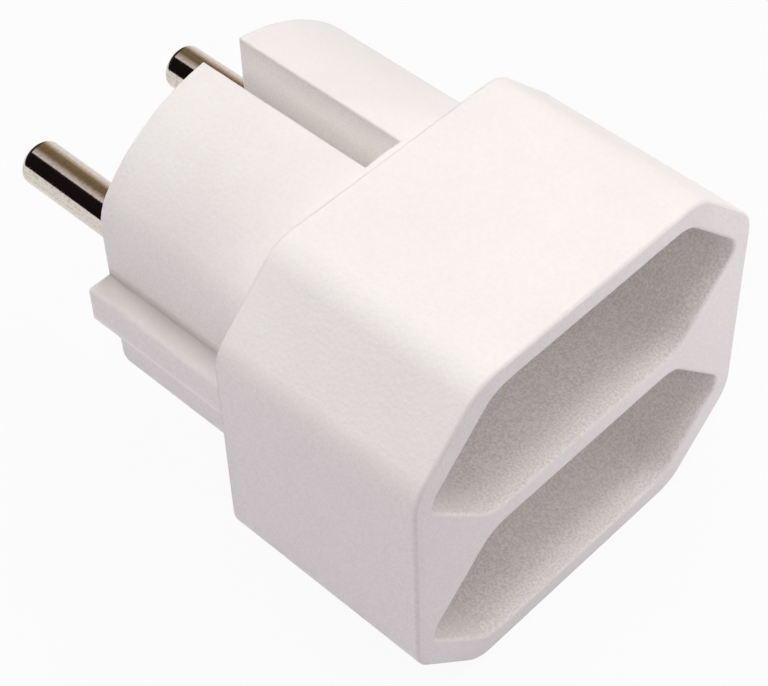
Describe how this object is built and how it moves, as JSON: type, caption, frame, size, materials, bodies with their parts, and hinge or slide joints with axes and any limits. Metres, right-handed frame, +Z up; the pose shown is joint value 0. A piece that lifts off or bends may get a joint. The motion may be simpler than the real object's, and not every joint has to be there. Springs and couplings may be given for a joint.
{
  "type": "two-way flat plug adapter",
  "caption": "White mains adapter: a round unearthed plug with bare pins, side ribs and earth-clip slots carries an octagonal block with stacked hexagonal wells for flat plugs.",
  "frame": {"origin": "on the plug's face, midway between the pins", "axes": "+Y the way the pins point, +X along the pin spacing, +Z up as the adapter lies on its block"},
  "size_m": [0.0432, 0.0624, 0.0386],
  "materials": {
    "white_plastic": "finely grained moulding",
    "nickel_plate": "bright nickel plate on brass",
    "contact_brass": "bare stamped brass",
    "screw_steel": "zinc plate"
  },
  "bodies": {
    "root": {"socket_block": "white_plastic", "plug_body": "white_plastic", "left_pin": "nickel_plate", "right_pin": "nickel_plate", "left_contact_bridge": "contact_brass", "right_contact_bridge": "contact_brass", "housing_screw": "screw_steel"}
  },
  "joints": []
}
